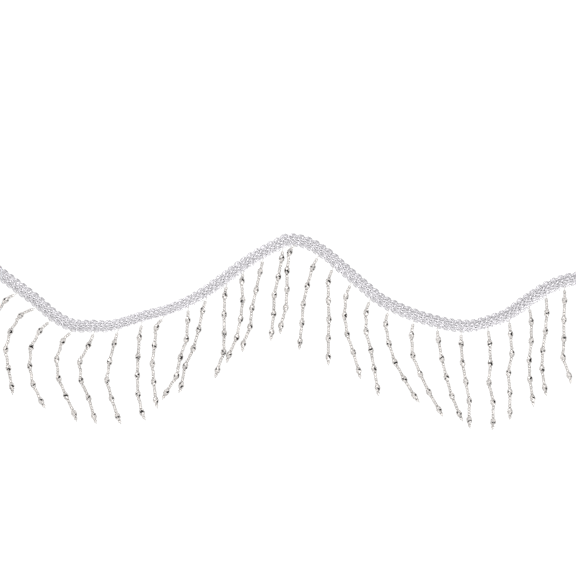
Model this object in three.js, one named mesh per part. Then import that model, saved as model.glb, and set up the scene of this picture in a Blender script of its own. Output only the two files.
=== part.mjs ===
// Beaded fringe trim: a cut length of silvery gimp braid that carries strands of clear beads.
//
// Millimetres. The trim lies flat with its back on the plane z = 0, and +Z is up, out of its front.
// +X runs along the trim, and -Y is roughly the way its strands hang. The origin is the point of
// the tape's back, on its centre line, at the top of the trim's middle curve.
//
// The header is a woven backing tape, a flat gimp braid above it, a thread between the two that
// carries the strands, a row of yarn loops along each edge, and a folded tab over each cut end.
// Each strand is one solid: a bare thread, then tubes of seed beads that join five oval beads.

import * as THREE from 'three';

// ---- Clearance ---------------------------------------------------------------------------------

const GAP = 0.3; // between any two pieces that touch on the real trim

// ---- Header, through its thickness and across its width ----------------------------------------

const BRAID_WIDTH = 6.0;
const BRAID_THICKNESS = 1.0;
const BRAID_EDGE_THICKNESS = 0.4;
const BRAID_CROWN = 3.6; // width of the braid's highest part

const TAPE_OVERHANG = 0.3; // past each edge of the braid
const TAPE_THICKNESS = 0.4;

const RUNNING_THREAD_DIAMETER = 0.4;

const LOOP_PITCH = 5.7; // from one yarn loop to the next, along both edges
const LOOP_THICKNESS = 0.6;
const LOOP_NECK = 0.4; // how far an edge reaches between two loops
const UPPER_LOOP_REACH = 1.5; // how far a loop reaches, from the edge's inner line
const LOWER_LOOP_REACH = 1.0;
const LOOP_FLAT = 0.4; // share of the pitch that is the end of a loop

const TAB_WALL = 0.5; // tape folded over a cut end
const TAB_FLAP = 4.0; // length of the fold that lies on the braid

// ---- Strands -----------------------------------------------------------------------------------

const THREAD_DIAMETER = 0.5;
const BARE_THREAD = 2.5; // from the header to the first seed bead
const SEED_DIAMETER = 2.2;
const SEED_RUN = 8.2; // length of the seed beads between two oval beads
const TAIL_SEEDS = 2.0; // length of the seed beads below the last oval bead
const SEED_LIFT = 0.3; // the seed beads hang this far above what the oval beads lie on
const OVAL_DIAMETER = 4.0;
const OVAL_LENGTH = 6.0;
const OVAL_BELLY = 2.4; // length of an oval bead's widest band
const STRAND_SIDES = 6;
const EXIT_RISE = 0.4; // from the top of the lower loops to where a strand's thread comes out

// ---- The way the trim lies ---------------------------------------------------------------------

// Centre line of the header, [x, y].
const HEADER_ROUTE = [
  [-222, -20.5],
  [-216, -25],
  [-202.5, -35],
  [-188, -46],
  [-175, -57],
  [-161, -64],
  [-147, -64.5],
  [-133.5, -64.5],
  [-119, -60.5],
  [-106, -56.5],
  [-92, -53],
  [-78, -47.5],
  [-64.5, -40.5],
  [-50.5, -31],
  [-37, -21],
  [-23, -11.5],
  [-9, -4],
  [0, 0],
  [13.5, -2],
  [28, -10],
  [41, -21],
  [55, -33],
  [69, -44.5],
  [82.5, -51.5],
  [96.5, -57],
  [110, -61],
  [124, -64],
  [138, -64.5],
  [151.5, -61],
  [165.5, -55.5],
  [179, -46],
  [193, -37],
  [207, -31],
  [216, -29],
  [229, -25],
];

// One row for each strand, from left to right: where it leaves the header, as a distance along the
// centre line; the length of the seed beads above its first oval bead; what it adds to the usual
// run of seed beads between oval beads; and how far towards +X each stretch takes the thread, down
// to each oval bead in turn and then to the strand's end.
const STRANDS = [
  { at: 7, lead: 6, slack: -0.1, sways: [-9, -9.5, -5, -1.5, 1.5, 0.5] },
  { at: 27, lead: 4.5, slack: -0.2, sways: [-8.5, -8, -4, 1.5, 4, 1] },
  { at: 45, lead: 7.5, slack: -0.2, sways: [-11.5, -7.5, -3.5, 2, 2.5, 0.5] },
  { at: 59, lead: 6, slack: -0.3, sways: [-8, -6.5, -1, 2.5, 6, 2.5] },
  { at: 75.5, lead: 5, slack: 0.1, sways: [-7, -4.5, 1.5, 5.5, 6, 1.5] },
  { at: 91.5, lead: 5.5, slack: -0.1, sways: [-4.5, -6.5, 1, 5.5, 4, 1.5] },
  { at: 108, lead: 5, slack: -0.1, sways: [-3, -3.5, -2, 3.5, 4.5, 2] },
  { at: 126.5, lead: 6, slack: -0.1, sways: [-2, -1, -0.5, 0.5, 3, 2] },
  { at: 143.5, lead: 4, slack: -0.5, sways: [-5.5, -1.5, -1.5, 1, 1.5, 1] },
  { at: 162.5, lead: 4, slack: 0.1, sways: [-0.5, -1, -4.5, -3, -7.5, -2.5] },
  { at: 177.5, lead: 4.5, slack: 0.4, sways: [-3, -3, -4, -6, -3, -1.5] },
  { at: 195.5, lead: 3.5, slack: -0.1, sways: [-1.5, -0.5, 0, -0.5, -4.5, -1.5] },
  { at: 211.5, lead: 2, slack: 0, sways: [-1.5, 0.5, -1.5, -3, -6, -1.5] },
  { at: 229.5, lead: 5, slack: -0.3, sways: [-2.5, -3, -3, -1.5, -5, -0.5] },
  { at: 246, lead: 2.5, slack: -0.2, sways: [-1, -2.5, -3, -0.5, -1.5, -0.5] },
  { at: 258, lead: 0.5, slack: -0.3, sways: [-3.5, -2, 0, -1, -3.5, -0.5] },
  { at: 280, lead: 4.5, slack: -0.1, sways: [-4.5, -4, -3, -1, -1.5, -0.5] },
  { at: 294.5, lead: 6, slack: -0.1, sways: [-3.5, 0, 0.5, -0.5, 0, 0] },
  { at: 312.5, lead: 5.5, slack: 0, sways: [-4, -1, 2, 4.5, 4, 1] },
  { at: 331, lead: 5, slack: 0.1, sways: [-3, 0, 3.5, 2.5, 2.5, 0.5] },
  { at: 346, lead: 5, slack: 0.4, sways: [-2, 2.5, 4.5, 7, 7.5, 3] },
  { at: 366, lead: 5.5, slack: 0.8, sways: [-1.5, 1, 5.5, 6.5, 7.5, 2.5] },
  { at: 384, lead: 3.5, slack: 0.2, sways: [1, 2.5, 3.5, 4, 5.5, 2] },
  { at: 401.5, lead: 3.5, slack: 0.2, sways: [0, 1, 2.5, 2.5, 0, 0.5] },
  { at: 420, lead: 6, slack: 0.6, sways: [1.5, 0.5, -1, 3, 0, -0.5] },
  { at: 436.5, lead: 5, slack: 0.4, sways: [1, 1, -2.5, 1, 0, 0] },
  { at: 454, lead: 6, slack: 0.2, sways: [1.5, 0, -1.5, 0.5, 2, 0.5] },
  { at: 469.5, lead: 7.5, slack: -0.1, sways: [0.5, -1, -2, -0.5, 2, 1] },
  { at: 485.5, lead: 4.5, slack: 0.1, sways: [0, -0.5, 0, -0.5, 4.5, 1] },
  { at: 501.5, lead: 5, slack: 0.1, sways: [1, 0.5, -0.5, 0.5, 1.5, 1] },
];

// ---- Heights and offsets that follow from the sizes above ---------------------------------------

const TAPE_WIDTH = BRAID_WIDTH + 2 * TAPE_OVERHANG;
const THREAD_BASE = TAPE_THICKNESS + GAP;
const BRAID_BASE = THREAD_BASE + RUNNING_THREAD_DIAMETER + GAP;
const BRAID_TOP = BRAID_BASE + BRAID_THICKNESS;
const LOOP_BASE = TAPE_THICKNESS + GAP;
const EDGE_LINE = BRAID_WIDTH / 2 + GAP; // inner line of both rows of loops
const LOWER_REACH = EDGE_LINE + LOWER_LOOP_REACH;
const EXIT_OFFSET = LOWER_REACH + GAP;
const EXIT_HEIGHT = LOOP_BASE + LOOP_THICKNESS + EXIT_RISE;
const SEED_HEIGHT = SEED_LIFT + SEED_DIAMETER / 2;
const OVAL_HEIGHT = (OVAL_DIAMETER / 2) * Math.cos(Math.PI / STRAND_SIDES); // on a flat side

// ---- Materials ---------------------------------------------------------------------------------

const silverYarn = new THREE.MeshStandardMaterial({ color: 0xcac8d2, roughness: 0.45, metalness: 0.25 });
const wovenTape = new THREE.MeshStandardMaterial({ color: 0xe6e5ea, roughness: 0.8, metalness: 0 });
const clearThread = new THREE.MeshStandardMaterial({ color: 0xe4e1dc, roughness: 0.5, metalness: 0 });
const clearBead = new THREE.MeshStandardMaterial({ color: 0xdbd5cf, roughness: 0.08, metalness: 0.1 });

// ---- Header route ------------------------------------------------------------------------------

const headerRoute = new THREE.CatmullRomCurve3(
  HEADER_ROUTE.map(([x, y]) => new THREE.Vector3(x, y, 0)),
  false,
  'catmullrom',
);
headerRoute.arcLengthDivisions = 2000;
const headerLength = headerRoute.getLength();
const loopCount = Math.round((headerLength - 2 * GAP) / LOOP_PITCH); // and facets along the header

// The point at a distance along the centre line, moved sideways; a positive offset is towards the
// upper edge, which is the left-hand side of someone walking along the trim towards +X.
function headerPoint(distance, offset) {
  const share = THREE.MathUtils.clamp(distance / headerLength, 0, 1);
  const point = headerRoute.getPointAt(share);
  const tangent = headerRoute.getTangentAt(share);
  return new THREE.Vector3(point.x - tangent.y * offset, point.y + tangent.x * offset, 0);
}

function headerAngle(distance) {
  const tangent = headerRoute.getTangentAt(THREE.MathUtils.clamp(distance / headerLength, 0, 1));
  return Math.atan2(tangent.y, tangent.x);
}

// ---- Helpers -----------------------------------------------------------------------------------

function namedMesh(name, geometry, material) {
  const mesh = new THREE.Mesh(geometry, material);
  mesh.name = name;
  return mesh;
}

// A flat strip: an outline of plan points, extruded upwards from a base height.
function flatStrip(outline, base, thickness) {
  const shape = new THREE.Shape(outline.map((point) => new THREE.Vector2(point.x, point.y)));
  const geometry = new THREE.ExtrudeGeometry(shape, { depth: thickness, bevelEnabled: false });
  geometry.translate(0, 0, base);
  return geometry;
}

// A section of [height, sideways] points, extruded along the centre line.
function alongHeader(section, start, end) {
  const points = [];
  for (let step = 0; step <= loopCount; step += 1) {
    points.push(headerPoint(start + ((end - start) * step) / loopCount, 0));
  }
  const path = new THREE.CatmullRomCurve3(points, false, 'catmullrom');
  // ExtrudeGeometry lays a section's x along -Z here, and its y towards the upper edge.
  const shape = new THREE.Shape(section.map(([height, side]) => new THREE.Vector2(-height, side)));
  return new THREE.ExtrudeGeometry(shape, { steps: loopCount, extrudePath: path });
}

// ---- Header pieces -----------------------------------------------------------------------------

function makeTape() {
  const upper = [];
  const lower = [];
  for (let step = 0; step <= loopCount; step += 1) {
    const distance = (headerLength * step) / loopCount;
    upper.push(headerPoint(distance, TAPE_WIDTH / 2));
    lower.unshift(headerPoint(distance, -TAPE_WIDTH / 2));
  }
  return namedMesh('backing_tape', flatStrip([...upper, ...lower], 0, TAPE_THICKNESS), wovenTape);
}

function makeRunningThread() {
  const sides = 6;
  const radius = RUNNING_THREAD_DIAMETER / 2;
  const section = [];
  for (let side = 0; side < sides; side += 1) {
    const angle = (2 * Math.PI * side) / sides;
    section.push([THREAD_BASE + radius + radius * Math.cos(angle), radius * Math.sin(angle)]);
  }
  return namedMesh('running_thread', alongHeader(section, GAP, headerLength - GAP), clearThread);
}

function makeBraid() {
  const half = BRAID_WIDTH / 2;
  const crown = BRAID_CROWN / 2;
  const edgeTop = BRAID_BASE + BRAID_EDGE_THICKNESS;
  const section = [
    [BRAID_BASE, -half],
    [BRAID_BASE, half],
    [edgeTop, half],
    [BRAID_TOP, crown],
    [BRAID_TOP, -crown],
    [edgeTop, -half],
  ];
  return namedMesh('gimp_braid', alongHeader(section, GAP, headerLength - GAP), silverYarn);
}

// A row of yarn loops along one edge: side is 1 for the upper edge and -1 for the lower.
function makeLoops(name, side, reach) {
  const pitch = (headerLength - 2 * GAP) / loopCount;
  const slope = (1 - LOOP_FLAT) / 2;
  const inner = [];
  const outer = [];
  for (let loop = 0; loop < loopCount; loop += 1) {
    const start = GAP + loop * pitch;
    inner.unshift(headerPoint(start, side * EDGE_LINE));
    outer.push(headerPoint(start, side * (EDGE_LINE + LOOP_NECK)));
    outer.push(headerPoint(start + pitch * slope, side * (EDGE_LINE + reach)));
    outer.push(headerPoint(start + pitch * (slope + LOOP_FLAT), side * (EDGE_LINE + reach)));
  }
  inner.unshift(headerPoint(headerLength - GAP, side * EDGE_LINE));
  outer.push(headerPoint(headerLength - GAP, side * (EDGE_LINE + LOOP_NECK)));
  return namedMesh(name, flatStrip([...outer, ...inner], LOOP_BASE, LOOP_THICKNESS), silverYarn);
}

// The tab over a cut end: a wall past the end, and a flap that lies on the braid.
function makeEndTab(name, distance, turn) {
  const shape = new THREE.Shape([
    new THREE.Vector2(-GAP - TAB_WALL, 0),
    new THREE.Vector2(-GAP, 0),
    new THREE.Vector2(-GAP, BRAID_TOP + GAP),
    new THREE.Vector2(TAB_FLAP, BRAID_TOP + GAP),
    new THREE.Vector2(TAB_FLAP, BRAID_TOP + GAP + TAB_WALL),
    new THREE.Vector2(-GAP - TAB_WALL, BRAID_TOP + GAP + TAB_WALL),
  ]);
  const geometry = new THREE.ExtrudeGeometry(shape, { depth: TAPE_WIDTH, bevelEnabled: false });
  geometry.translate(0, 0, -TAPE_WIDTH / 2);
  geometry.rotateX(Math.PI / 2);
  const tab = namedMesh(name, geometry, wovenTape);
  tab.position.copy(headerPoint(distance, 0));
  tab.rotation.z = headerAngle(distance) + turn;
  return tab;
}

// ---- Strands -----------------------------------------------------------------------------------

function stretchLengths({ lead, slack }) {
  const first = BARE_THREAD + lead + OVAL_LENGTH / 2;
  const between = SEED_RUN + slack + OVAL_LENGTH;
  const tail = OVAL_LENGTH / 2 + TAIL_SEEDS;
  return [first, between, between, between, between, tail];
}

// How far a bead at a point has to move towards +X to lie clear of the beads of the next strand.
function shortage(point, neighbours) {
  const beside = neighbours.filter((bead) => Math.abs(bead.y - point.y) < OVAL_LENGTH);
  return Math.max(0, ...beside.map((bead) => OVAL_DIAMETER + GAP - (point.x - bead.x)));
}

// Where a strand lies in plan: its exit from the header, the centres of its oval beads and its end.
// It lies clear of the strand on its left, whose own points are given.
function layStrand(strand, left) {
  const exit = headerPoint(strand.at, -EXIT_OFFSET);
  const points = [new THREE.Vector2(exit.x, exit.y)];
  stretchLengths(strand).forEach((length, index) => {
    const step = (sway) => new THREE.Vector2(sway, -Math.sqrt(length ** 2 - sway ** 2));
    const sway = strand.sways[index];
    const wanted = step(sway).add(points[index]);
    points.push(step(sway + shortage(wanted, left.slice(1))).add(points[index]));
  });
  return points;
}

// Rings of a strand, each with a centre, the strand's lean there and a radius. The lean is the
// angle from -Y towards +X. A radius of 0 closes an end.
function strandRings(points) {
  const leans = points.slice(1).map((point, index) => {
    const run = point.clone().sub(points[index]);
    return Math.atan2(run.x, -run.y);
  });
  const rings = [];
  const addRing = (place, lean, ahead, z, radius) => {
    const x = place.x + Math.sin(lean) * ahead;
    const y = place.y - Math.cos(lean) * ahead;
    rings.push({ x, y, z, lean, radius });
  };
  const exit = points[0];
  addRing(exit, leans[0], 0, EXIT_HEIGHT, 0);
  addRing(exit, leans[0], 0, EXIT_HEIGHT, THREAD_DIAMETER / 2);
  addRing(exit, leans[0], BARE_THREAD, SEED_HEIGHT, THREAD_DIAMETER / 2);
  addRing(exit, leans[0], BARE_THREAD, SEED_HEIGHT, SEED_DIAMETER / 2);
  points.slice(1, -1).forEach((oval, index) => {
    const through = (leans[index] + leans[index + 1]) / 2;
    addRing(oval, through, -OVAL_LENGTH / 2, SEED_HEIGHT, SEED_DIAMETER / 2);
    addRing(oval, through, -OVAL_BELLY / 2, OVAL_HEIGHT, OVAL_DIAMETER / 2);
    addRing(oval, through, OVAL_BELLY / 2, OVAL_HEIGHT, OVAL_DIAMETER / 2);
    addRing(oval, through, OVAL_LENGTH / 2, SEED_HEIGHT, SEED_DIAMETER / 2);
  });
  const end = points[points.length - 1];
  const lastLean = leans[leans.length - 1];
  addRing(end, lastLean, 0, SEED_HEIGHT, SEED_DIAMETER / 2);
  addRing(end, lastLean, 0, SEED_HEIGHT, 0);
  return rings;
}

// A lathed solid with one profile point for each ring, then carried onto the rings.
function ringedGeometry(rings) {
  const profile = rings.map((ring, index) => new THREE.Vector2(ring.radius, index));
  const halfSide = Math.PI / STRAND_SIDES; // turns a flat side down
  const geometry = new THREE.LatheGeometry(profile, STRAND_SIDES, halfSide);
  const position = geometry.attributes.position;
  for (let vertex = 0; vertex < position.count; vertex += 1) {
    const ring = rings[vertex % rings.length];
    const sideways = position.getX(vertex);
    const up = position.getZ(vertex);
    position.setXYZ(
      vertex,
      ring.x - Math.cos(ring.lean) * sideways,
      ring.y - Math.sin(ring.lean) * sideways,
      ring.z + up,
    );
  }
  geometry.computeVertexNormals();
  return geometry;
}

// The strand's mesh sits at its hinge and turns so that its own -Y runs from the hinge to its end.
function makeStrand(name, points) {
  const exit = points[0];
  const across = points[points.length - 1].clone().sub(exit);
  const lean = Math.atan2(across.x, -across.y);
  const geometry = ringedGeometry(strandRings(points));
  geometry.translate(-exit.x, -exit.y, -EXIT_HEIGHT);
  geometry.rotateZ(-lean);
  const mesh = namedMesh(name, geometry, clearBead);
  mesh.position.set(exit.x, exit.y, EXIT_HEIGHT);
  mesh.rotation.z = lean;
  return mesh;
}

// ---- The trim ----------------------------------------------------------------------------------

const trim = new THREE.Group();
trim.add(makeTape());
trim.add(makeRunningThread());
trim.add(makeBraid());
trim.add(makeLoops('upper_picot_edge', 1, UPPER_LOOP_REACH));
trim.add(makeLoops('lower_picot_edge', -1, LOWER_LOOP_REACH));
trim.add(makeEndTab('left_end_tab', 0, 0));
trim.add(makeEndTab('right_end_tab', headerLength, Math.PI));
let left = [];
STRANDS.forEach((strand, index) => {
  const points = layStrand(strand, left);
  trim.add(makeStrand(`bead_strand_${String(index + 1).padStart(2, '0')}`, points));
  left = points;
});

export default trim;
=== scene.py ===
import math
import random

import bpy
import numpy as np
from mathutils import Matrix, Vector


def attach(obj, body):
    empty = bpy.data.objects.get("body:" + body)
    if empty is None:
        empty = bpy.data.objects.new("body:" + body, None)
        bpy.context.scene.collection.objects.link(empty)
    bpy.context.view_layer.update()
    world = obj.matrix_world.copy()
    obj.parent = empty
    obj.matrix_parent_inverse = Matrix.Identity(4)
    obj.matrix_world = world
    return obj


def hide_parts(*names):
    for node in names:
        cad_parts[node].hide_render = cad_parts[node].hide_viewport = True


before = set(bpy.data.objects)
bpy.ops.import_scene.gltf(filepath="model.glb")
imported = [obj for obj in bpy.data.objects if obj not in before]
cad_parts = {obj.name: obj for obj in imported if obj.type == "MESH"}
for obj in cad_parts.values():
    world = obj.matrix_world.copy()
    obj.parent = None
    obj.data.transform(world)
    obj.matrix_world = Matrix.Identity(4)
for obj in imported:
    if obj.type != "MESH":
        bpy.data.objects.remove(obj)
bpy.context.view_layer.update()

# A beaded fringe trim that lies on a table: a silvery gimp braid that carries strands of clear
# seed beads and faceted oval beads. Sizes are in millimetres, and MM turns them into metres.

MM = 0.001
SEED = 11
UP = np.array([0.0, 0.0, 1.0])

# ---- Camera ------------------------------------------------------------------------------------

VIEW_WIDTH = 432.0  # of the table that the camera sees
VIEW_CENTRE = (0.0, -36.375)
CAMERA_HEIGHT = 3000.0
SENSOR = 36.0


def make_camera():
    data = bpy.data.cameras.new("camera")
    data.sensor_width = SENSOR
    data.lens = SENSOR * CAMERA_HEIGHT / VIEW_WIDTH
    camera = bpy.data.objects.new("camera", data)
    camera.location = (VIEW_CENTRE[0] * MM, VIEW_CENTRE[1] * MM, CAMERA_HEIGHT * MM)
    bpy.context.scene.collection.objects.link(camera)
    bpy.context.scene.camera = camera


# ---- Sizes that the CAD part has too -------------------------------------------------------------

GAP = 0.3
TAPE_WIDTH = 6.6
TAPE_THICKNESS = 0.4
LOOP_PITCH = 5.7
EXIT_OFFSET = 4.6
EXIT_HEIGHT = 1.7
BARE_THREAD = 2.5
THREAD_DIAMETER = 0.5
SEED_DIAMETER = 2.2
SEED_RUN = 8.2
TAIL_SEEDS = 2.0
SEED_HEIGHT = 1.4
OVAL_DIAMETER = 4.0
OVAL_LENGTH = 6.0
FLAP_LENGTH = 4.0
FLAP_TOP = 3.2
TAB_WALL = 0.5

# Centre line of the header, [x, y].
HEADER_ROUTE = [
    (-222, -20.5), (-216, -25), (-202.5, -35), (-188, -46), (-175, -57), (-161, -64),
    (-147, -64.5), (-133.5, -64.5), (-119, -60.5), (-106, -56.5), (-92, -53), (-78, -47.5),
    (-64.5, -40.5), (-50.5, -31), (-37, -21), (-23, -11.5), (-9, -4), (0, 0), (13.5, -2),
    (28, -10), (41, -21), (55, -33), (69, -44.5), (82.5, -51.5), (96.5, -57), (110, -61),
    (124, -64), (138, -64.5), (151.5, -61), (165.5, -55.5), (179, -46), (193, -37),
    (207, -31), (216, -29), (229, -25),
]

# One row for each strand, from left to right: where it leaves the header, as a distance along the
# centre line; the length of the seed beads above its first oval bead; what it adds to the usual
# run of seed beads between oval beads; and how far towards +X each stretch takes the thread.
STRANDS = [
    (7, 6, -0.1, (-9, -9.5, -5, -1.5, 1.5, 0.5)),
    (27, 4.5, -0.2, (-8.5, -8, -4, 1.5, 4, 1)),
    (45, 7.5, -0.2, (-11.5, -7.5, -3.5, 2, 2.5, 0.5)),
    (59, 6, -0.3, (-8, -6.5, -1, 2.5, 6, 2.5)),
    (75.5, 5, 0.1, (-7, -4.5, 1.5, 5.5, 6, 1.5)),
    (91.5, 5.5, -0.1, (-4.5, -6.5, 1, 5.5, 4, 1.5)),
    (108, 5, -0.1, (-3, -3.5, -2, 3.5, 4.5, 2)),
    (126.5, 6, -0.1, (-2, -1, -0.5, 0.5, 3, 2)),
    (143.5, 4, -0.5, (-5.5, -1.5, -1.5, 1, 1.5, 1)),
    (162.5, 4, 0.1, (-0.5, -1, -4.5, -3, -7.5, -2.5)),
    (177.5, 4.5, 0.4, (-3, -3, -4, -6, -3, -1.5)),
    (195.5, 3.5, -0.1, (-1.5, -0.5, 0, -0.5, -4.5, -1.5)),
    (211.5, 2, 0, (-1.5, 0.5, -1.5, -3, -6, -1.5)),
    (229.5, 5, -0.3, (-2.5, -3, -3, -1.5, -5, -0.5)),
    (246, 2.5, -0.2, (-1, -2.5, -3, -0.5, -1.5, -0.5)),
    (258, 0.5, -0.3, (-3.5, -2, 0, -1, -3.5, -0.5)),
    (280, 4.5, -0.1, (-4.5, -4, -3, -1, -1.5, -0.5)),
    (294.5, 6, -0.1, (-3.5, 0, 0.5, -0.5, 0, 0)),
    (312.5, 5.5, 0, (-4, -1, 2, 4.5, 4, 1)),
    (331, 5, 0.1, (-3, 0, 3.5, 2.5, 2.5, 0.5)),
    (346, 5, 0.4, (-2, 2.5, 4.5, 7, 7.5, 3)),
    (366, 5.5, 0.8, (-1.5, 1, 5.5, 6.5, 7.5, 2.5)),
    (384, 3.5, 0.2, (1, 2.5, 3.5, 4, 5.5, 2)),
    (401.5, 3.5, 0.2, (0, 1, 2.5, 2.5, 0, 0.5)),
    (420, 6, 0.6, (1.5, 0.5, -1, 3, 0, -0.5)),
    (436.5, 5, 0.4, (1, 1, -2.5, 1, 0, 0)),
    (454, 6, 0.2, (1.5, 0, -1.5, 0.5, 2, 0.5)),
    (469.5, 7.5, -0.1, (0.5, -1, -2, -0.5, 2, 1)),
    (485.5, 4.5, 0.1, (0, -0.5, 0, -0.5, 4.5, 1)),
    (501.5, 5, 0.1, (1, 0.5, -0.5, 0.5, 1.5, 1)),
]

# ---- Lines -------------------------------------------------------------------------------------


def catmull_rom(points, per_stretch):
    """The uniform Catmull-Rom curve through the points, with its ends run straight on."""
    p = np.array(points, float)
    p = np.vstack([2 * p[0] - p[1], p, 2 * p[-1] - p[-2]])
    line = []
    for i in range(1, len(p) - 2):
        a, b, c, d = p[i - 1:i + 3]
        for t in np.arange(per_stretch) / per_stretch:
            line.append(
                0.5 * (2 * b + (c - a) * t + (2 * a - 5 * b + 4 * c - d) * t ** 2
                       + (3 * b - a - 3 * c + d) * t ** 3)
            )
    line.append(p[-2])
    return np.array(line)


def distances_along(line):
    """How far along the line each of its points is."""
    return np.concatenate([[0], np.cumsum(np.linalg.norm(np.diff(line, axis=0), axis=1))])


class Line:
    """A line that can be read at a distance along it."""

    def __init__(self, points):
        self.points = np.array(points, float)
        self.along = distances_along(self.points)
        self.length = self.along[-1]

    def at(self, distance):
        """The points at some distances along the line."""
        d = np.atleast_1d(distance)
        columns = [np.interp(d, self.along, column) for column in self.points.T]
        return np.stack(columns, axis=1)

    def direction(self, distance, reach=0.2):
        """The line's direction at some distances, from chords that reach as far each way."""
        ahead = self.at(np.minimum(np.atleast_1d(distance) + reach, self.length))
        behind = self.at(np.maximum(np.atleast_1d(distance) - reach, 0))
        step = ahead - behind
        return step / np.linalg.norm(step, axis=1)[:, None]


HEADER_STEPS = 40  # points in each stretch of the header's route

header = Line(catmull_rom(HEADER_ROUTE, HEADER_STEPS))
loop_count = round((header.length - 2 * GAP) / LOOP_PITCH)
loop_pitch = (header.length - 2 * GAP) / loop_count


def header_points(distance, offset, height):
    """Points beside the header's centre line; a positive offset is towards its upper edge."""
    middle = header.at(distance)
    ahead = header.direction(distance)
    left = np.stack([-ahead[:, 1], ahead[:, 0]], axis=1)
    plan = middle + left * np.reshape(offset, (-1, 1))
    tall = np.broadcast_to(height, len(plan)).astype(float)
    return np.column_stack([plan, tall])


# ---- Meshes ------------------------------------------------------------------------------------


def mesh_object(name, vertices, faces):
    """A smooth mesh object from points in millimetres."""
    mesh = bpy.data.meshes.new(name)
    mesh.from_pydata((np.array(vertices, float) * MM).tolist(), [], [tuple(f) for f in faces])
    mesh.polygons.foreach_set("use_smooth", [True] * len(mesh.polygons))
    mesh.validate()
    mesh.update()
    piece = bpy.data.objects.new(name, mesh)
    bpy.context.scene.collection.objects.link(piece)
    return piece


def grid_faces(rings, sides):
    """Quads between closed rings of points that follow each other."""
    r = np.arange(rings - 1)[:, None] * sides
    s = np.arange(sides)[None, :]
    ahead = (s + 1) % sides
    quads = np.stack([r + s, r + ahead, r + sides + ahead, r + sides + s], axis=-1)
    return quads.reshape(-1, 4).tolist()


def tube(line, radius, sides, plies=0, twist=1.0, depth=0.0, roll=0.0):
    """Points and faces of a closed tube. Its section has a lobe for each ply, and the lobes turn
    once in each twist's length."""
    line = np.array(line, float)
    ahead = np.gradient(line, axis=0)
    ahead /= np.linalg.norm(ahead, axis=1)[:, None]
    side = np.cross(ahead, UP)
    side /= np.linalg.norm(side, axis=1)[:, None]
    top = np.cross(side, ahead)
    along = distances_along(line)
    angle = 2 * math.pi * np.arange(sides) / sides
    lobes = np.cos(plies * (angle[None, :] - 2 * math.pi * along[:, None] / twist - roll))
    reach = np.broadcast_to(radius, len(line))[:, None] * (1 + depth * lobes)
    ring = side[:, None, :] * np.cos(angle)[None, :, None]
    ring = ring + top[:, None, :] * np.sin(angle)[None, :, None]
    points = (line[:, None, :] + ring * reach[:, :, None]).reshape(-1, 3)
    faces = grid_faces(len(line), sides)
    last = (len(line) - 1) * sides
    faces.append(list(range(sides))[::-1])
    faces.append([last + s for s in range(sides)])
    return points, faces


def joined(parts):
    """Several (points, faces) as one."""
    points, faces, count = [], [], 0
    for part_points, part_faces in parts:
        points.append(part_points)
        faces += [[i + count for i in face] for face in part_faces]
        count += len(part_points)
    return np.vstack(points), faces


# ---- Materials ---------------------------------------------------------------------------------

PAINTED_LIGHT_TONE = "tone"  # the mesh attribute that holds a bead's tint: painted shade on its sides and painted dark reflections on some facets
GLASS_IOR = 1.5
# the next index is for the oval beads' duller side glass, which is painted shade
SIDE_SHADE_IOR = 1.15
COAT_IOR = 1.04
YARN_LIGHT = 1.06  # a yarn's lightest and darkest blotches, as shares of its tint
YARN_DARK = 0.88


def new_material(name):
    material = bpy.data.materials.new(name)
    material.use_nodes = True
    nodes = material.node_tree.nodes
    return material, nodes, material.node_tree.links, nodes["Principled BSDF"]


def noise(nodes, links, scale, detail=3.0):
    """A noise texture in object space; scale counts blotches in a metre."""
    place = nodes.new("ShaderNodeTexCoord")
    texture = nodes.new("ShaderNodeTexNoise")
    texture.inputs["Scale"].default_value = scale
    texture.inputs["Detail"].default_value = detail
    links.new(place.outputs["Object"], texture.inputs["Vector"])
    return texture


def ramp(nodes, links, source, stops):
    """A colour ramp through the stops, which are (position, colour)."""
    node = nodes.new("ShaderNodeValToRGB")
    first, last = node.color_ramp.elements
    first.position, first.color = stops[0][0], (*stops[0][1], 1)
    last.position, last.color = stops[-1][0], (*stops[-1][1], 1)
    for place, colour in stops[1:-1]:
        node.color_ramp.elements.new(place).color = (*colour, 1)
    links.new(source, node.inputs["Fac"])
    return node


def grey(value):
    return (value, value, value)


def blotched(nodes, links, texture, stops, socket):
    """Drives a socket of the shader by a noise texture, through a ramp."""
    colours = ramp(nodes, links, texture.outputs["Fac"], stops)
    links.new(colours.outputs["Color"], socket)


def fibre_bump(nodes, links, shader, fibres, strength):
    """Fine relief from a noise texture."""
    bump = nodes.new("ShaderNodeBump")
    bump.inputs["Strength"].default_value = strength
    bump.inputs["Distance"].default_value = 0.0001
    links.new(fibres.outputs["Fac"], bump.inputs["Height"])
    links.new(bump.outputs["Normal"], shader.inputs["Normal"])


def silver_yarn(name, tint, shine):
    """Silky silver-grey yarn with a metallic filament in it."""
    material, nodes, links, shader = new_material(name)
    light = tuple(c * YARN_LIGHT for c in tint)
    dark = tuple(c * YARN_DARK for c in tint)
    stops = [(0.3, dark), (0.55, tint), (0.75, light)]
    blotched(nodes, links, noise(nodes, links, 900.0), stops, shader.inputs["Base Color"])
    fibres = noise(nodes, links, 4200.0, 2.0)
    stops = [(0.3, grey(0.3)), (0.7, grey(0.58))]
    blotched(nodes, links, fibres, stops, shader.inputs["Roughness"])
    fibre_bump(nodes, links, shader, fibres, 0.5)
    shader.inputs["Metallic"].default_value = shine
    shader.inputs["Sheen Weight"].default_value = 0.25
    shader.inputs["Sheen Roughness"].default_value = 0.4
    return material


def woven_tape():
    """Matt pale tape; its weave is in the mesh."""
    material, nodes, links, shader = new_material("woven_tape")
    stops = [(0.3, (0.52, 0.51, 0.53)), (0.7, (0.66, 0.65, 0.67))]
    blotched(nodes, links, noise(nodes, links, 600.0), stops, shader.inputs["Base Color"])
    fibre_bump(nodes, links, shader, noise(nodes, links, 5000.0, 2.0), 0.4)
    shader.inputs["Roughness"].default_value = 0.85
    shader.inputs["Sheen Weight"].default_value = 0.3
    return material


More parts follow.
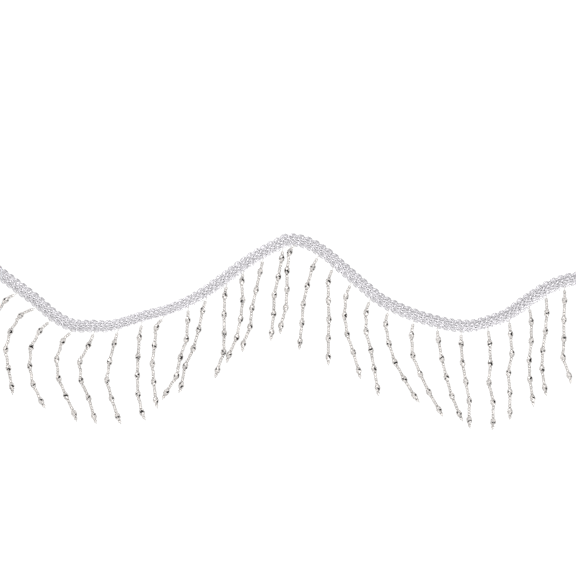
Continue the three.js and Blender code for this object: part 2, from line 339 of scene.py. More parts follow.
def clear_thread():
    """Translucent beading thread."""
    material, nodes, links, shader = new_material("clear_thread")
    stops = [(0.3, (0.42, 0.40, 0.38)), (0.7, (0.60, 0.58, 0.56))]
    blotched(nodes, links, noise(nodes, links, 1500.0), stops, shader.inputs["Base Color"])
    shader.inputs["Roughness"].default_value = 0.4
    shader.inputs["Transmission Weight"].default_value = 0.2
    return material


def bead_glass(name, pale, dark, clear, rim, ior=GLASS_IOR):
    """Slightly milky glass under a thin tinted coat, which looks darker where it is seen aslant.
    The glass is darker too where the mesh's tone is lower; that tone holds painted shade and painted
    dark reflections."""
    material, nodes, links, shader = new_material(name)
    shaded = nodes.new("ShaderNodeMix")
    shaded.data_type = "RGBA"
    shaded.blend_type = "MULTIPLY"
    shaded.inputs["Factor"].default_value = 1.0
    stops = [(0.35, dark), (0.65, pale)]
    blotched(nodes, links, noise(nodes, links, 260.0, 2.0), stops, shaded.inputs["A"])
    tone = nodes.new("ShaderNodeAttribute")
    tone.attribute_name = PAINTED_LIGHT_TONE
    links.new(tone.outputs["Color"], shaded.inputs["B"])
    links.new(shaded.outputs["Result"], shader.inputs["Base Color"])
    stops = [(0.35, grey(0.03)), (0.7, grey(0.12))]
    blotched(nodes, links, noise(nodes, links, 1400.0), stops, shader.inputs["Roughness"])
    shader.inputs["Transmission Weight"].default_value = clear
    shader.inputs["IOR"].default_value = ior
    shader.inputs["Coat Weight"].default_value = 1.0
    shader.inputs["Coat Roughness"].default_value = 0.03
    shader.inputs["Coat IOR"].default_value = COAT_IOR
    shader.inputs["Coat Tint"].default_value = (*rim, 1)
    return material


def bead_lining():
    """The silver lining of a bead's hole."""
    material, nodes, links, shader = new_material("bead_lining")
    stops = [(0.3, (0.55, 0.53, 0.51)), (0.7, (0.9, 0.88, 0.86))]
    blotched(nodes, links, noise(nodes, links, 1200.0), stops, shader.inputs["Base Color"])
    shader.inputs["Metallic"].default_value = 0.3
    shader.inputs["Roughness"].default_value = 0.3
    return material


YARN_CENTRE = silver_yarn("silver_yarn_centre", (0.52, 0.51, 0.53), 0.45)
YARN_LOOPS = silver_yarn("silver_yarn_loops", (0.54, 0.53, 0.55), 0.6)
# A darker copy of the yarn for the upper loops' outer cord: painted shade at the loops' outer ends.
YARN_SHADED_EDGE = silver_yarn("silver_yarn_shaded_edge", (0.42, 0.41, 0.43), 0.6)
TAPE = woven_tape()
THREAD = clear_thread()
OVAL_GLASS = bead_glass(
    "oval_glass", (1.0, 0.995, 0.99), (0.95, 0.94, 0.93), 0.65, (0.84, 0.825, 0.815)
)
# A duller, darker copy of the oval glass for the oval beads' side facets: painted shade.
SIDE_SHADE_GLASS = bead_glass(
    "side_shade_glass", (1.0, 0.99, 0.98), (0.93, 0.92, 0.91), 0.3, (0.75, 0.735, 0.72), SIDE_SHADE_IOR
)
SEED_GLASS = bead_glass(
    "seed_glass", (1.0, 0.99, 0.98), (0.95, 0.935, 0.92), 0.45, (0.875, 0.86, 0.85)
)
LINING = bead_lining()


def finish_piece(piece, material, body, slot, *nodes):
    """Gives a piece its material and body, and hides the CAD nodes that it stands for. Its slot is
    not used.
    """
    if material:
        piece.data.materials.append(material)
    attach(piece, body)
    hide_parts(*nodes)
    return piece


def thread_tube(line):
    """A two-ply beading thread along a line."""
    return tube(line, THREAD_DIAMETER / 2, sides=8, plies=2, twist=1.4, depth=0.12)


# ---- Header: tape, running thread and end tabs ---------------------------------------------------

TAPE_STEP = 0.35
TAPE_COLUMNS = 18
WEAVE_DEPTH = 0.05
EDGE_THINNING = 0.9


def make_tape():
    """A flat woven strip that thins at its edges. Warp and weft threads rise and fall in turn."""
    count = int(header.length / TAPE_STEP)
    along = np.linspace(0, header.length, count)
    across = np.linspace(-TAPE_WIDTH / 2, TAPE_WIDTH / 2, TAPE_COLUMNS + 1)
    row, column = np.meshgrid(np.arange(count), np.arange(TAPE_COLUMNS + 1), indexing="ij")
    weave = WEAVE_DEPTH * np.where((row + column) % 2 == 0, 1.0, -1.0)
    edge = np.abs(across) / (TAPE_WIDTH / 2)
    half = (TAPE_THICKNESS / 2 - WEAVE_DEPTH) * np.sqrt(1 - EDGE_THINNING * edge ** 8)[None, :]
    top = TAPE_THICKNESS / 2 + half + weave
    bottom = TAPE_THICKNESS / 2 - half + weave
    order = [(top, c) for c in range(TAPE_COLUMNS + 1)]
    order += [(bottom, c) for c in range(TAPE_COLUMNS, -1, -1)]
    columns = [header_points(along, across[c], height[:, c]) for height, c in order]
    points = np.stack(columns, axis=1).reshape(-1, 3)
    sides = len(order)
    faces = grid_faces(count, sides)
    last = (count - 1) * sides
    faces.append(list(range(sides)))
    faces.append([last + s for s in range(sides)][::-1])
    piece = mesh_object("backing_tape_woven", points, faces)
    return finish_piece(piece, TAPE, "header", "woven_tape", "backing_tape")


RUNNING_HEIGHT = 0.95
RUNNING_RADIUS = 0.2
RUNNING_STEP = 0.5
RUNNING_WAVE = 0.15


def make_running_thread():
    """The thread that the strands hang from, sewn along the tape in a shallow wave."""
    along = np.arange(2 * GAP, header.length - 2 * GAP, RUNNING_STEP)
    wave = RUNNING_WAVE * np.sin(math.pi * along / loop_pitch)
    line = header_points(along, wave, RUNNING_HEIGHT)
    shape = tube(line, RUNNING_RADIUS, sides=8, plies=2, twist=1.2, depth=0.15)
    piece = mesh_object("running_thread_twisted", *shape)
    return finish_piece(piece, THREAD, "header", "clear_thread", "running_thread")


TAB_LOW = 0.1  # height of the tab's lower end
TAB_BEND = 0.5  # radius of the bend over the cut end
TAB_DROP = 0.12  # how far the flap comes down towards its free edge
TAB_COLUMNS = 16
TAB_SHEET_HALF = 0.19
TAB_WEAVE = 0.03
STITCH_COUNT = 7
STITCH_SPREAD = 2.6  # from the tab's middle to its outer stitches
STITCH_SETBACK = 1.0  # from the flap's free edge
STITCH_SLANT = 0.4
STITCH_BASE = 0.1
STITCH_RADIUS = 0.11
STITCH_SHAPE = ((-0.35, 0.0), (0.0, 0.14), (0.35, 0.0))  # across the tab, and up from its base


def tab_profile():
    """The middle of the folded tape in side view, as [along, up], from its lower end to its flap."""
    high = FLAP_TOP - TAB_WALL / 2
    back = -GAP - TAB_WALL / 2
    flat = FLAP_LENGTH - back - TAB_BEND
    profile = [(back, TAB_LOW)]
    profile += [(back, TAB_LOW + (high - TAB_BEND - TAB_LOW) * t) for t in np.linspace(0.2, 1, 5)]
    profile += [
        (back + TAB_BEND * (1 - math.cos(a)), high - TAB_BEND * (1 - math.sin(a)))
        for a in np.linspace(0.2, math.pi / 2, 6)
    ]
    profile += [(back + TAB_BEND + flat * t, high - TAB_DROP * t) for t in np.linspace(0.1, 1, 12)]
    return np.array(profile)


def make_end_tab(name, node, start, turn):
    """Tape folded up over a cut end and down onto the braid, with a row of stitches."""
    profile = tab_profile()
    step = np.gradient(profile, axis=0)
    step /= np.linalg.norm(step, axis=1)[:, None]
    normal = np.stack([-step[:, 1], step[:, 0]], axis=1)
    across = np.linspace(-TAPE_WIDTH / 2, TAPE_WIDTH / 2, TAB_COLUMNS + 1)
    origin = header_points([start], [0.0], [0.0])[0]
    ahead = header.direction([start])[0] * turn
    left = np.array([-ahead[1], ahead[0]])
    rings = []
    for r, ((x, z), n) in enumerate(zip(profile, normal)):
        ring = []
        for sign, order in ((1, range(TAB_COLUMNS + 1)), (-1, range(TAB_COLUMNS, -1, -1))):
            for c in order:
                off = sign * TAB_SHEET_HALF + TAB_WEAVE * (1 if (r + c) % 2 == 0 else -1)
                plan = origin[:2] + ahead[:2] * (x + n[0] * off) + left * across[c]
                ring.append((plan[0], plan[1], z + n[1] * off))
        rings.append(ring)
    sides = len(rings[0])
    points = np.array(rings).reshape(-1, 3)
    faces = grid_faces(len(rings), sides)
    faces.append(list(range(sides))[::-1])
    faces.append([(len(rings) - 1) * sides + s for s in range(sides)])
    base = FLAP_TOP - TAB_WALL / 2 + STITCH_BASE
    stitches = []
    for side in np.linspace(-STITCH_SPREAD, STITCH_SPREAD, STITCH_COUNT):
        line = []
        for off, rise in STITCH_SHAPE:
            along = FLAP_LENGTH - STITCH_SETBACK + off * STITCH_SLANT
            plan = origin[:2] + ahead[:2] * along + left * (side + off)
            line.append((plan[0], plan[1], base + rise))
        stitches.append(tube(catmull_rom(line, 4), STITCH_RADIUS, sides=6))
    piece = mesh_object(name, *joined([(points, faces)] + stitches))
    return finish_piece(piece, TAPE, "header", "woven_tape", node)


# ---- Header: the gimp braid ----------------------------------------------------------------------

CORD_STEP = 0.3
CORD_SIDES = 12
CORD_PLIES = 3
CORD_TWIST = 3.4
CORD_DEPTH = 0.09
GROUND_OFFSETS = (-2.4, -1.5, 1.5, 2.4)
GROUND_HEIGHT = 1.25
GROUND_WAVE = 0.18  # sideways
GROUND_RIPPLE = 0.12  # up and down
GROUND_PHASE = 1.7  # from one ground cord to the next
GROUND_RADIUS = 0.45
EDGE_CORDS = (("lower", -3.45), ("upper", 2.9))
EDGE_HEIGHT = 0.75
EDGE_WAVE = 0.2
PLAIT_COUNT = 3
PLAIT_PERIOD = 2.0  # in loop pitches
PLAIT_REACH = 1.1
PLAIT_HEIGHT = 2.1
PLAIT_RIPPLE = 0.5
PLAIT_RADIUS = 0.64
LOOP_STEPS = 26  # points in each loop
LOOP_INNER = 0.55  # from the braid's middle to the loops' inner ends
LOOP_HEIGHT = 1.05
LOOP_RISE = 0.75  # of the inner ends
# Where the braid lies pulled narrower or spread: middle and reach along the header, change of width.
BRAID_PULLS = ((137.0, 38.0, -0.2), (466.0, 28.0, 0.13))


def braid_share(along):
    """How wide the braid lies at each distance, as a share of its plain width."""
    share = np.ones(len(along))
    for middle, reach, change in BRAID_PULLS:
        share += change * np.exp(-((along - middle) / reach) ** 4)
    return share


def gimp_cord(name, along, offset, height, radius, material, node):
    """One twisted gimp cord that follows the header."""
    line = header_points(along, offset * braid_share(along), height)
    roll = random.random() * 6
    shape = tube(line, radius, CORD_SIDES, CORD_PLIES, CORD_TWIST, CORD_DEPTH, roll)
    piece = mesh_object(name, *shape)
    return finish_piece(piece, material, "header", "silver_yarn", node)


def make_ground_cords():
    """Cords that run along the braid under the others and fill it."""
    along = np.arange(GAP, header.length - GAP, CORD_STEP)
    pieces = []
    for index, offset in enumerate(GROUND_OFFSETS):
        phase = 2 * math.pi * along / loop_pitch + index * GROUND_PHASE
        pieces.append(
            gimp_cord(
                f"ground_cord_{index + 1}", along, offset + GROUND_WAVE * np.sin(phase),
                GROUND_HEIGHT + GROUND_RIPPLE * np.cos(phase), GROUND_RADIUS, YARN_CENTRE,
                "gimp_braid",
            )
        )
    for name, offset in EDGE_CORDS:
        wave = EDGE_WAVE * np.sin(2 * math.pi * along / loop_pitch)
        pieces.append(
            gimp_cord(
                f"{name}_edge_cord", along, offset + wave, EDGE_HEIGHT, GROUND_RADIUS,
                YARN_CENTRE, f"{name}_picot_edge",
            )
        )
    return pieces


def make_plait_cords():
    """Three cords plaited along the middle."""
    along = np.arange(GAP, header.length - GAP, CORD_STEP)
    pieces = []
    for index in range(PLAIT_COUNT):
        phase = 2 * math.pi * (along / (PLAIT_PERIOD * loop_pitch) + index / PLAIT_COUNT)
        pieces.append(
            gimp_cord(
                f"plait_cord_{index + 1}", along, PLAIT_REACH * np.sin(phase),
                PLAIT_HEIGHT + PLAIT_RIPPLE * np.sin(2 * phase), PLAIT_RADIUS, YARN_CENTRE,
                "gimp_braid",
            )
        )
    return pieces


def make_loop_cord(name, side, reach, inset, radius, shift, node, lean, material):
    """A cord that runs in loops from the middle of the braid out to one edge. A positive inset
    narrows the loops at their outer ends, and a lean slants them."""
    turn = np.arange(loop_count * LOOP_STEPS + 1) / LOOP_STEPS
    centre = np.floor(turn - 1e-9) + 0.5
    place = turn - centre
    valley = np.abs(np.sin(math.pi * (turn - 0.5))) ** 6
    narrow = place * (1 - inset * np.cos(math.pi * place))
    offset = LOOP_INNER + (reach - LOOP_INNER) * (1 - valley)
    along = GAP + loop_pitch * (centre + narrow + shift) + lean * offset
    along = np.clip(along, GAP, header.length - GAP)
    keep = np.concatenate([[True], np.diff(along) != 0])
    height = LOOP_HEIGHT + LOOP_RISE * valley
    return gimp_cord(
        name, along[keep], side * offset[keep], height[keep], radius, material, node
    )


def make_braid():
    """The braid's cords. Each row is what make_loop_cord takes."""
    pieces = make_ground_cords() + make_plait_cords()
    upper, lower = "upper_picot_edge", "lower_picot_edge"
    # The upper loops' outer cord takes the darker yarn, as painted shade at the loops' outer ends.
    for row in (
        ("upper_loop_outer", 1, 4.1, -0.12, 0.5, 0.0, upper, 0.4, YARN_SHADED_EDGE),
        ("upper_loop_inner", 1, 3.2, 0.1, 0.45, 0.0, upper, 0.4, YARN_LOOPS),
        ("lower_loop_outer", -1, 4.65, -0.3, 0.5, 0.5, lower, 0.35, YARN_LOOPS),
        ("lower_loop_inner", -1, 3.2, 0.1, 0.45, 0.5, lower, 0.35, YARN_LOOPS),
    ):
        pieces.append(make_loop_cord(*row))
    return pieces


# ---- Strands: how they lie -----------------------------------------------------------------------

OVAL_HEIGHT = OVAL_DIAMETER / 2
OVAL_END_DROP = 0.12  # of the thread, from an oval bead's middle to its ends
SHOULDER_HEIGHT = 1.45  # of the thread where it comes down from an oval bead
SAG_HEIGHT = 1.2  # of the thread halfway between two oval beads
# The thread between two oval beads: share of the way, and height.
SAG = ((0.36, SHOULDER_HEIGHT), (0.5, SAG_HEIGHT), (0.64, SHOULDER_HEIGHT))
TAIL_LENGTH = 0.9  # of the thread past its stop bead
TAIL_HEIGHT = 0.8
LINE_STEPS = 8  # points in each stretch of a strand's line


def lay_strand(strand, left):
    """Where a strand lies in plan: its exit, the centres of its oval beads and its end. It keeps
    clear of the strand on its left."""
    at, lead, slack, sways = strand
    between = SEED_RUN + slack + OVAL_LENGTH
    lengths = [BARE_THREAD + lead + OVAL_LENGTH / 2]
    lengths += [between] * (len(sways) - 2)
    lengths.append(OVAL_LENGTH / 2 + TAIL_SEEDS)
    points = [header_points([at], [-EXIT_OFFSET], [0.0])[0][:2]]
    for length, sway in zip(lengths, sways):
        wanted = points[-1] + (sway, -math.sqrt(length ** 2 - sway ** 2))
        beside = [bead for bead in left[1:] if abs(bead[1] - wanted[1]) < OVAL_LENGTH]
        short = max([0.0] + [OVAL_DIAMETER + GAP - (wanted[0] - bead[0]) for bead in beside])
        sway += short
        points.append(points[-1] + (sway, -math.sqrt(length ** 2 - sway ** 2)))
    return points


def heading(lean):
    """The direction in plan of a thread that leans by an angle from -Y towards +X."""
    return np.array([math.sin(lean), -math.cos(lean)])


def strand_line(points):
    """The thread's line through the beads, and the distance along it of each oval bead's middle."""
    runs = np.diff(np.array(points), axis=0)
    leans = [math.atan2(run[0], -run[1]) for run in runs]
    route = [(*points[0], EXIT_HEIGHT)]
    for share in (0.35, 0.7, 1.0):
        plan = points[0] + heading(leans[0]) * BARE_THREAD * share
        route.append((*plan, EXIT_HEIGHT + (SEED_HEIGHT - EXIT_HEIGHT) * share))
    marks = []
    ovals = points[1:-1]
    for index, oval in enumerate(ovals):
        through = heading((leans[index] + leans[index + 1]) / 2) * OVAL_LENGTH / 2
        marks.append(len(route) + 1)
        route.append((*(oval - through), OVAL_HEIGHT - OVAL_END_DROP))
        route.append((*oval, OVAL_HEIGHT))
        route.append((*(oval + through), OVAL_HEIGHT - OVAL_END_DROP))
        if index < len(ovals) - 1:
            for share, height in SAG:
                route.append((*(oval + (ovals[index + 1] - oval) * share), height))
    route.append((*points[-1], SEED_HEIGHT))
    route.append((*(points[-1] + heading(leans[-1]) * TAIL_LENGTH), TAIL_HEIGHT))
    line = Line(catmull_rom(route, LINE_STEPS))
    return line, [line.along[mark * LINE_STEPS] for mark in marks]


def across_and_up(direction):
    """The level direction across a thread, and the one that stands on both."""
    side = np.cross(direction, UP)
    side /= np.linalg.norm(side)
    return side, np.cross(side, direction)


# ---- Strands: beads ------------------------------------------------------------------------------

SEED_LENGTH = 2.0
SEED_HOLE = 0.75
SEED_SIDES = 16
SEED_ANGLES = np.linspace(0, 2 * math.pi, 12, endpoint=False)  # round the section of its wall
OVAL_SIDES = 8
OVAL_HOLE = 0.9
OVAL_HOLE_SHARE = 0.93  # of the bead's length
CLEAR = (1.0, 1.0, 1.0)
# Painted shade on the beads' sides: the tint where their surface stands most upright.
OVAL_RIM_SHADE = (0.48, 0.46, 0.445)
SEED_RIM_SHADE = (0.35, 0.33, 0.32)
SEED_LEAN = 0.15  # a seed bead has its full painted rim shade where its normal rises less than this
SIDE_SHADE_LEAN = 0.42  # and an oval bead, whose facets there also take the darker side glass as painted shade
RIM_REACH = 0.4  # how much further the normal rises where the painted rim shade has faded out
# Near-black facets on the oval beads: painted reflections of a dark room.
PAINTED_DARK_REFLECTION = (0.002, 0.002, 0.002)
SEED_WIDTHS = (1.02, 1.1)  # as shares of the plain width
SEED_TILT = 0.1
SEED_SHIFT = 0.06
SEED_DEPTHS = (0.8, 1.0)  # shares of a seed bead's tint
STOP_SLACK = 0.1  # between the last oval bead and the stop bead
SEED_CHORD = 0.8  # how far each way along the thread a seed bead takes its direction from
OVAL_CHORD = 1.5
OVAL_ROLL_SPREAD = 0.1  # in half sides of the bead
# Rings of corners from an oval bead's end to its middle: share of its half length, of its width.
OVAL_RINGS = ((1.0, 0.36), (0.78, 0.66), (0.42, 0.93), (0.0, 1.0))
# The oval beads' dark spots below are painted reflections.
MAIN_SPOT = (1.15, 0.35)  # its usual place across the bead, and how much that varies
SECOND_SPOT = (-1.0, 0.4)
SPOT_SPREAD = 1.2  # along the bead, from its middle
SPOT_HEIGHT = 1.4
SPOT_SIZES = (3, 4, 4, 5)  # facets in the main dark spot
SECOND_SPOT_SHARE = 0.5  # of the oval beads
SECOND_SPOT_SIZE = 2
UNDER_SPOT_SPREAD = 1.5
UNDER_SPOT_HEIGHT = -1.5
UNDER_SPOT_SIZE = 3


def set_tones(mesh, tones, domain):
    """Stores a tint for each face or each point of a mesh."""
    layer = mesh.attributes.new(PAINTED_LIGHT_TONE, "FLOAT_COLOR", domain)
    for item, tone in zip(layer.data, tones):
        item.color = (*tone, 1.0)


def painted_rim_shade(upright, rim, start):
    """Painted shade on glass by how far its surface leans: clear on top and the rim's darker tint on
    the sides.
    """
    share = min(1.0, max(0.0, (abs(upright) - start) / RIM_REACH))
    share = share * share * (3 - 2 * share)
    return tuple(r + (1 - r) * share for r in rim)


def lathe(profile, sides):
    """Points and faces of a closed ring of the profile, which is [along, radius], about X."""
    points, faces = [], []
    count = len(profile)
    for s in range(sides):
        angle = 2 * math.pi * s / sides
        for along, radius in profile:
            points.append((along, radius * math.cos(angle), radius * math.sin(angle)))
    for s in range(sides):
        here, ahead = s * count, (s + 1) % sides * count
        for p in range(count):
            after = (p + 1) % count
            faces.append([here + p, ahead + p, ahead + after, here + after])
    return np.array(points), faces


def seed_profile():
    """A rounded short tube, as [along, radius]."""
    half, hole, outer = SEED_LENGTH / 2, SEED_HOLE / 2, SEED_DIAMETER / 2
    middle = (outer + hole) / 2
    thick = (outer - hole) / 2
    profile = []
    for a in SEED_ANGLES:
        c, s = math.cos(a), math.sin(a)
        along = half * math.copysign(abs(c) ** 0.75, c)
        profile.append((along, middle + thick * math.copysign(abs(s) ** 0.8, s)))
    return profile


def seed_tones():
    """The tint of each point of a seed bead, in the order in which lathe makes them: painted shade,
    darker where the bead's sides stand upright. Its hole is clear."""
    tones = []
    for s in range(SEED_SIDES):
        upright = math.sin(2 * math.pi * s / SEED_SIDES)
        for outward in np.sin(SEED_ANGLES):
            inside = outward < -0.1
            tones.append(CLEAR if inside else painted_rim_shade(upright * outward, SEED_RIM_SHADE, SEED_LEAN))
    return tones


def turn_onto(points, place, direction):
    """Carries points made about the X axis to a place on the thread."""
    side, top = across_and_up(direction)
    return place + points[:, :1] * direction + points[:, 1:2] * side + points[:, 2:] * top


def oval_shape():
    """Points, facets, hole ends and lining of a faceted oval bead about X. Its facets are
    three-sided, and each ring of corners is turned half a side from the last."""
    half, hole = OVAL_LENGTH / 2, OVAL_HOLE / 2
    wide = OVAL_DIAMETER / 2 / math.cos(math.pi / OVAL_SIDES)
    rings = [(-half * along, share) for along, share in OVAL_RINGS]
    rings += [(-along, share) for along, share in rings[-2::-1]]
    points, facets, ends, lining = [], [], [], []
    for r, (along, share) in enumerate(rings):
        for s in range(OVAL_SIDES):
            angle = 2 * math.pi * (s + 0.5 * (r % 2)) / OVAL_SIDES
            points.append((along, wide * share * math.cos(angle), wide * share * math.sin(angle)))
    for r in range(len(rings) - 1):
        for s in range(OVAL_SIDES):
            a = r * OVAL_SIDES + s
            b = r * OVAL_SIDES + (s + 1) % OVAL_SIDES
            c = a + OVAL_SIDES
            if r % 2 == 0:
                d = (r + 1) * OVAL_SIDES + (s - 1) % OVAL_SIDES
                facets += [[a, c, b], [a, d, c]]
            else:
                d = b + OVAL_SIDES
                facets += [[a, d, b], [a, c, d]]
    near = len(points)
    far = near + OVAL_SIDES
    last = (len(rings) - 1) * OVAL_SIDES
    for along in (-half * OVAL_HOLE_SHARE, half * OVAL_HOLE_SHARE):
        for s in range(OVAL_SIDES):
            angle = 2 * math.pi * s / OVAL_SIDES
            points.append((along, hole * math.cos(angle), hole * math.sin(angle)))
    for s in range(OVAL_SIDES):
        ahead = (s + 1) % OVAL_SIDES
        ends.append([s, ahead, near + ahead, near + s])
        ends.append([last + s, far + s, far + ahead, last + ahead])
        lining.append([near + s, near + ahead, far + ahead, far + s])
    return points, facets, ends, lining


def dark_reflection_spots(right):
    """Where an oval bead's painted dark reflections are: along it, across it, up, and how many
    facets each has.
    The first spot is on its right side, and right tells which way across it that is."""
    spots = [(
        random.uniform(-SPOT_SPREAD, SPOT_SPREAD), random.gauss(*MAIN_SPOT) * right,
        SPOT_HEIGHT, random.choice(SPOT_SIZES),
    )]
    if random.random() < SECOND_SPOT_SHARE:
        spots.append((
            random.uniform(-SPOT_SPREAD, SPOT_SPREAD), random.gauss(*SECOND_SPOT) * right,
            SPOT_HEIGHT, SECOND_SPOT_SIZE,
        ))
    spots.append((
        random.uniform(-SPOT_SPREAD, SPOT_SPREAD),
        random.uniform(-UNDER_SPOT_SPREAD, UNDER_SPOT_SPREAD),
        UNDER_SPOT_HEIGHT, UNDER_SPOT_SIZE,
    ))
    return spots


def oval_mesh(name, roll, thread_way):
    """An oval bead with a silver-lined hole, side facets in a darker glass and tint as painted
    shade, and dark facets as painted reflections. It is made about X and rolled afterwards, so its
    spots are placed with the roll in mind."""
    points, facets, ends, lining = oval_shape()
    mesh = bpy.data.meshes.new(name)
    mesh.from_pydata((np.array(points) * MM).tolist(), [], facets + ends + lining)
    for material in (OVAL_GLASS, LINING, SIDE_SHADE_GLASS):
        mesh.materials.append(material)
    mesh.update()
    c, s = math.cos(roll), math.sin(roll)
    normals = np.array([polygon.normal for polygon in mesh.polygons])
    upright = normals[:, 1] * s + normals[:, 2] * c
    # Painted shade: facets that stand upright get the rim tint, and the side ones also the darker
    # side glass.
    tones = [painted_rim_shade(value, OVAL_RIM_SHADE, SIDE_SHADE_LEAN) for value in upright]
    for index, polygon in enumerate(mesh.polygons):
        if index >= len(facets) + len(ends):
            polygon.material_index = 1
        elif index < len(facets) and abs(upright[index]) < SIDE_SHADE_LEAN:
            polygon.material_index = 2
    middles = np.array([np.mean([points[i] for i in face], axis=0) for face in facets])
    # Painted reflections: the facets nearest each spot turn near black.
    for along, across, high, size in dark_reflection_spots(1 if thread_way[1] > 0 else -1):
        spot = np.array([along, across * c + high * s, high * c - across * s])
        for index in np.argsort(np.linalg.norm(middles - spot, axis=1))[:size]:
            tones[index] = PAINTED_DARK_REFLECTION
    set_tones(mesh, tones, "FACE")
    return mesh


def make_oval_bead(number, bead, place, ahead, body, node):
    """One oval bead, rolled at random about its thread."""
    side, top = across_and_up(ahead)
    half_sides = random.randrange(2 * OVAL_SIDES) + 0.5
    half_sides += random.uniform(-OVAL_ROLL_SPREAD, OVAL_ROLL_SPREAD)
    roll = half_sides * math.pi / OVAL_SIDES
    mesh = oval_mesh(f"oval_{number}_{bead}", roll, ahead)
    piece = bpy.data.objects.new(f"oval_bead_{number}_{bead}", mesh)
    bpy.context.scene.collection.objects.link(piece)
    rows = [(ahead[i], side[i], top[i], place[i] * MM) for i in range(3)]
    piece.matrix_world = Matrix((*rows, (0, 0, 0, 1))) @ Matrix.Rotation(roll, 4, "X")
    return finish_piece(piece, None, body, "clear_bead", node)


def make_seed_beads(number, line, ovals, body, node):
    """The seed beads of a strand: above its first oval bead, between the others, and the stop
    bead."""
    edges = [BARE_THREAD]
    for along in ovals:
        edges += [along - OVAL_LENGTH / 2, along + OVAL_LENGTH / 2]
    edges.append(ovals[-1] + OVAL_LENGTH / 2 + TAIL_SEEDS + STOP_SLACK)
    seeds, tones = [], []
    profile = seed_profile()
    for start, end in zip(edges[0::2], edges[1::2]):
        count = round((end - start) / SEED_LENGTH)
        for seed in range(count):
            along = start + (end - start) * (seed + 0.5) / count
            size = random.uniform(*SEED_WIDTHS)
            points, faces = lathe(profile, SEED_SIDES)
            points *= (min(1.0, (end - start) / count / SEED_LENGTH), size, size)
            tilt = np.array([random.uniform(-SEED_TILT, SEED_TILT) for _ in range(3)])
            ahead = line.direction(along, SEED_CHORD)[0] + tilt
            ahead /= np.linalg.norm(ahead)
            shift = [random.uniform(-SEED_SHIFT, SEED_SHIFT) for _ in range(2)]
            depth = random.uniform(*SEED_DEPTHS)
            # Painted shade on each seed bead's sides, scaled by a random depth.
            tones += [tuple(depth * c for c in tone) for tone in seed_tones()]
            place = line.at(along)[0] + (*shift, 0.0)
            seeds.append((turn_onto(points, place, ahead), faces))
    piece = mesh_object(f"seed_beads_{number}", *joined(seeds))
    set_tones(piece.data, tones, "POINT")
    return finish_piece(piece, SEED_GLASS, body, "clear_bead", node)


# ---- Strands: threads ----------------------------------------------------------------------------

THREAD_STEP = 0.8
KNOT_TURNS = 2.2
KNOT_POINTS = 40
KNOT_REACH = 0.28
KNOT_WAVE = 0.1
KNOT_STEP = 0.1  # along the thread, for each turn
KNOT_RADIUS = 0.16


def make_knot(number, line, body, node):
    """The knot under the stop bead: a few close turns of the thread."""
    end, ahead = line.at(line.length)[0], line.direction(line.length)[0]
    knot_line = []
    for turn in np.linspace(0, KNOT_TURNS * 2 * math.pi, KNOT_POINTS):
        round_thread = np.array([
            math.cos(turn) * KNOT_REACH, math.sin(turn) * KNOT_REACH,
            KNOT_WAVE * math.sin(2 * turn),
        ])
        knot_line.append(end + round_thread + ahead * KNOT_STEP * turn / (2 * math.pi))
    piece = mesh_object(f"end_knot_{number}", *tube(knot_line, KNOT_RADIUS, sides=7))
    return finish_piece(piece, THREAD, body, "clear_thread", node)


def make_strand(index, points):
    """One strand: its thread, beads and knot, all on its own body."""
    number = f"{index + 1:02d}"
    body, node = f"strand_{number}", f"bead_strand_{number}"
    line, ovals = strand_line(points)
    thread_line = line.at(np.linspace(0, line.length, int(line.length / THREAD_STEP)))
    thread = mesh_object(f"thread_{number}", *thread_tube(thread_line))
    finish_piece(thread, THREAD, body, "clear_thread", node)
    for bead, along in enumerate(ovals):
        place, ahead = line.at(along)[0], line.direction(along, OVAL_CHORD)[0]
        make_oval_bead(number, bead + 1, place, ahead, body, node)
    make_seed_beads(number, line, ovals, body, node)
    make_knot(number, line, body, node)


# A hanging stitch on its way from the running thread to the edge, as [offset, height].
HANGING_STITCH = ((-0.1, RUNNING_HEIGHT), (-2.4, 0.75), (-4.0, 1.35))


def make_hanging_stitches(exits):
    """Short threads that tie each strand to the running thread."""
    parts = []
    for (at, *_), exit_point in zip(STRANDS, exits):
        route = [header_points([at], [offset], [height])[0] for offset, height in HANGING_STITCH]
        route.append(np.array([*exit_point, EXIT_HEIGHT]))
        parts.append(thread_tube(catmull_rom(route, LINE_STEPS)))
    piece = mesh_object("hanging_stitches", *joined(parts))
    return finish_piece(piece, THREAD, "header", "clear_thread", "running_thread")


# ---- Studio ------------------------------------------------------------------------------------

FLOOR_HALF = 3000.0
FLOOR_HEIGHT = -0.15
FLOOR_GLOW = 0.95


def make_floor():
    """A white floor that glows evenly, like a light table, so that shadows hardly show on it."""
    material, nodes, links, shader = new_material("pale_floor")
    stops = [(0.3, grey(0.1)), (0.7, grey(0.12))]
    blotched(nodes, links, noise(nodes, links, 40.0), stops, shader.inputs["Base Color"])
    shader.inputs["Roughness"].default_value = 1.0
    shader.inputs["Specular IOR Level"].default_value = 0.0
    shader.inputs["Emission Color"].default_value = (1, 1, 1, 1)
    shader.inputs["Emission Strength"].default_value = FLOOR_GLOW
    corners = [
        (x * FLOOR_HALF, y * FLOOR_HALF, FLOOR_HEIGHT)
        for x, y in ((-1, -1), (1, -1), (1, 1), (-1, 1))
    ]
    floor = mesh_object("floor", corners, [(0, 1, 2, 3)])
    floor.data.materials.append(material)


LIGHT_SIZE = 800.0
LIGHT_AIM = (0.0, -36.0, 0.0)


def make_light(name, place, power):
    """A square soft light that shines at the middle of the view."""
    data = bpy.data.lights.new(name, "AREA")
    data.shape = "SQUARE"
    data.size = LIGHT_SIZE * MM
    data.energy = power
    lamp = bpy.data.objects.new(name, data)
    lamp.location = [c * MM for c in place]
    away = Vector(place) - Vector(LIGHT_AIM)
    lamp.rotation_euler = away.to_track_quat("Z", "Y").to_euler()
    bpy.context.scene.collection.objects.link(lamp)


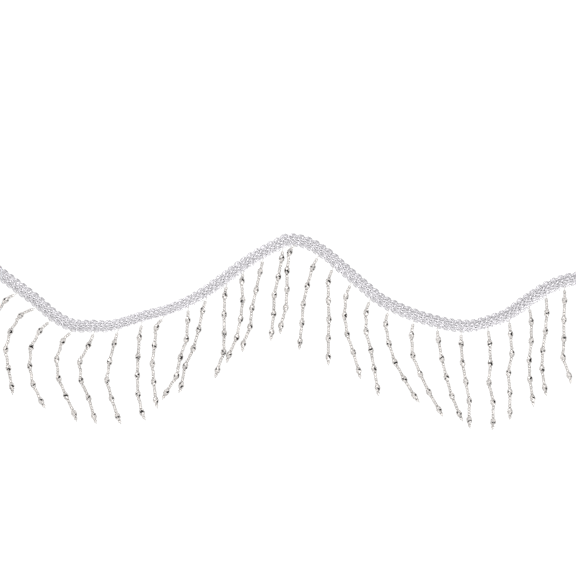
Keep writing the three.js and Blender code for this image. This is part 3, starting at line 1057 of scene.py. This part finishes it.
# The studio's brightness by the rise of the direction, from level at 0 to straight up at 1.
STUDIO_STOPS = (
    (0.0, 0.95), (0.15, 0.7), (0.3, 0.4), (0.45, 1.0), (0.8, 1.0), (0.95, 0.5),
)
STUDIO_STRENGTH = 0.7


def make_world():
    """A bright horizon, a dark band above it, bright higher up and darker overhead. All of it is
    dimmer towards the right."""
    world = bpy.data.worlds.new("studio")
    bpy.context.scene.world = world
    world.use_nodes = True
    nodes, links = world.node_tree.nodes, world.node_tree.links
    place = nodes.new("ShaderNodeTexCoord")
    split = nodes.new("ShaderNodeSeparateXYZ")
    links.new(place.outputs["Generated"], split.inputs["Vector"])
    stops = [(height, grey(value)) for height, value in STUDIO_STOPS]
    height = ramp(nodes, links, split.outputs["Z"], stops)
    lean = nodes.new("ShaderNodeMapRange")
    lean.inputs["From Min"].default_value = -0.2
    lean.inputs["From Max"].default_value = 0.5
    lean.inputs["To Min"].default_value = 1.0
    lean.inputs["To Max"].default_value = 0.6
    links.new(split.outputs["X"], lean.inputs["Value"])
    shade = nodes.new("ShaderNodeMath")
    shade.operation = "MULTIPLY"
    links.new(height.outputs["Color"], shade.inputs[0])
    links.new(lean.outputs["Result"], shade.inputs[1])
    links.new(shade.outputs["Value"], nodes["Background"].inputs["Color"])
    nodes["Background"].inputs["Strength"].default_value = STUDIO_STRENGTH


# ---- Everything --------------------------------------------------------------------------------

random.seed(SEED)
tape = make_tape()
header_pieces = [make_running_thread()]
header_pieces.append(make_end_tab("left_end_tab_folded", "left_end_tab", 0.0, 1))
header_pieces.append(make_end_tab("right_end_tab_folded", "right_end_tab", header.length, -1))
header_pieces += make_braid()
laid, left_points = [], []
for strand in STRANDS:
    left_points = lay_strand(strand, left_points)
    laid.append(left_points)
header_pieces.append(make_hanging_stitches([points[0] for points in laid]))
for index, points in enumerate(laid):
    make_strand(index, points)
make_camera()
make_floor()
make_world()
make_light("key", (-600, 900, 1100), 23)
make_light("fill", (700, -900, 1100), 25)
bpy.context.scene.view_settings.view_transform = "Standard"
